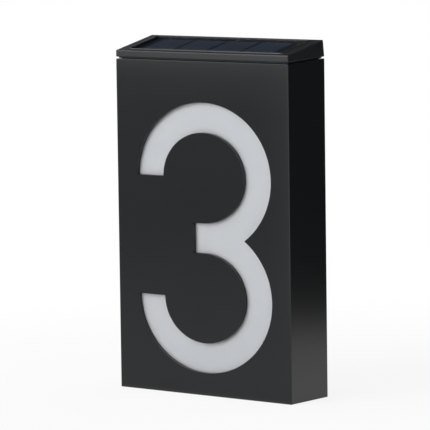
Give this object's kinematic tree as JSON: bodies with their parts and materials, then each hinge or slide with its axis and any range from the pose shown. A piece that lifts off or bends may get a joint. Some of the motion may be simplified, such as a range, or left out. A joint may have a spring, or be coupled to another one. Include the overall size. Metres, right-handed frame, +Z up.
{
  "type": "illuminated house number sign",
  "caption": "Slim upright wall box with a cut-out numeral over an opal diffuser, under a sloping lift-off solar cap that charges its lights.",
  "frame": {"origin": "middle of the housing's flat base", "axes": "+Z up along the tall side, -Y out of the front face that carries the numeral, +Y into the wall, +X to the numeral's right"},
  "size_m": [0.1296, 0.0362, 0.2125],
  "materials": {
    "housing": "moulded, fine satin grain, anthracite",
    "cap": "moulded, satin, anthracite",
    "diffuser": "opal white, satin",
    "clear_acrylic": "clear, polished",
    "reflector": "white film, satin",
    "inner_plastic": "moulded, black, satin",
    "screw_steel": "zinc plated",
    "stainless": "stainless sheet, brushed",
    "panel_cover": "clear tempered cover, slightly blue",
    "silicon": "dark blue silicon under a clear coat",
    "laminate": "dark glass-fibre laminate",
    "seal_rubber": "black silicone rubber",
    "tray": "moulded, satin, dark grey",
    "battery_sleeve": "metallic green sleeve over a metal can",
    "contact_metal": "nickel plated spring steel",
    "circuit_board": "green solder mask",
    "chip_plastic": "black moulded epoxy",
    "ferrite": "sintered ferrite, dark grey",
    "capacitor_can": "drawn can, satin",
    "socket_plastic": "natural nylon",
    "switch_metal": "tinned steel",
    "knob_plastic": "black, satin",
    "lamp_resin": "yellow phosphor resin, moulded",
    "clear_window": "clear, polished",
    "wire_insulation": "red flexible insulation"
  },
  "bodies": {
    "housing": {"housing": "housing", "diffuser": "diffuser", "light_guide": "clear_acrylic", "reflector_sheet": "reflector", "retaining_frame": "inner_plastic", "retaining_screws": "screw_steel", "wall_plate": "stainless", "clinch_nuts": "screw_steel", "housing_screws": "stainless"},
    "solar_module": {"battery_cell": "battery_sleeve", "battery_leads": "wire_insulation", "battery_spring": "contact_metal", "board_screws": "screw_steel", "cap_frame": "cap", "capacitor": "capacitor_can", "control_board": "circuit_board", "control_chip": "chip_plastic", "inductor": "ferrite", "lead_sockets": "socket_plastic", "led_board": "circuit_board", "led_lamps": "lamp_resin", "led_leads": "wire_insulation", "led_window": "clear_window", "module_tray": "tray", "panel_seal": "seal_rubber", "plug_seal": "seal_rubber", "positive_contact": "contact_metal", "solar_backing": "laminate", "solar_cells": "silicon", "solar_cover": "panel_cover", "solar_leads": "wire_insulation", "spring_plate": "contact_metal", "switch_case": "switch_metal", "tray_gasket": "seal_rubber", "tray_screws": "screw_steel"},
    "battery_door": {"battery_door": "tray"},
    "switch_slider": {"switch_slider": "knob_plastic"}
  },
  "joints": [
    {"name": "module_lift", "type": "slide", "parent": "housing", "child": "solar_module", "axis": [0, 0, 1], "range_m": [0, 0.03]},
    {"name": "battery_door_slide", "type": "slide", "parent": "solar_module", "child": "battery_door", "axis": [1, 0, 0], "range_m": [0, 0.052]},
    {"name": "switch_slide", "type": "slide", "parent": "solar_module", "child": "switch_slider", "axis": [1, 0, 0], "range_m": [-0.0025, 0]}
  ]
}
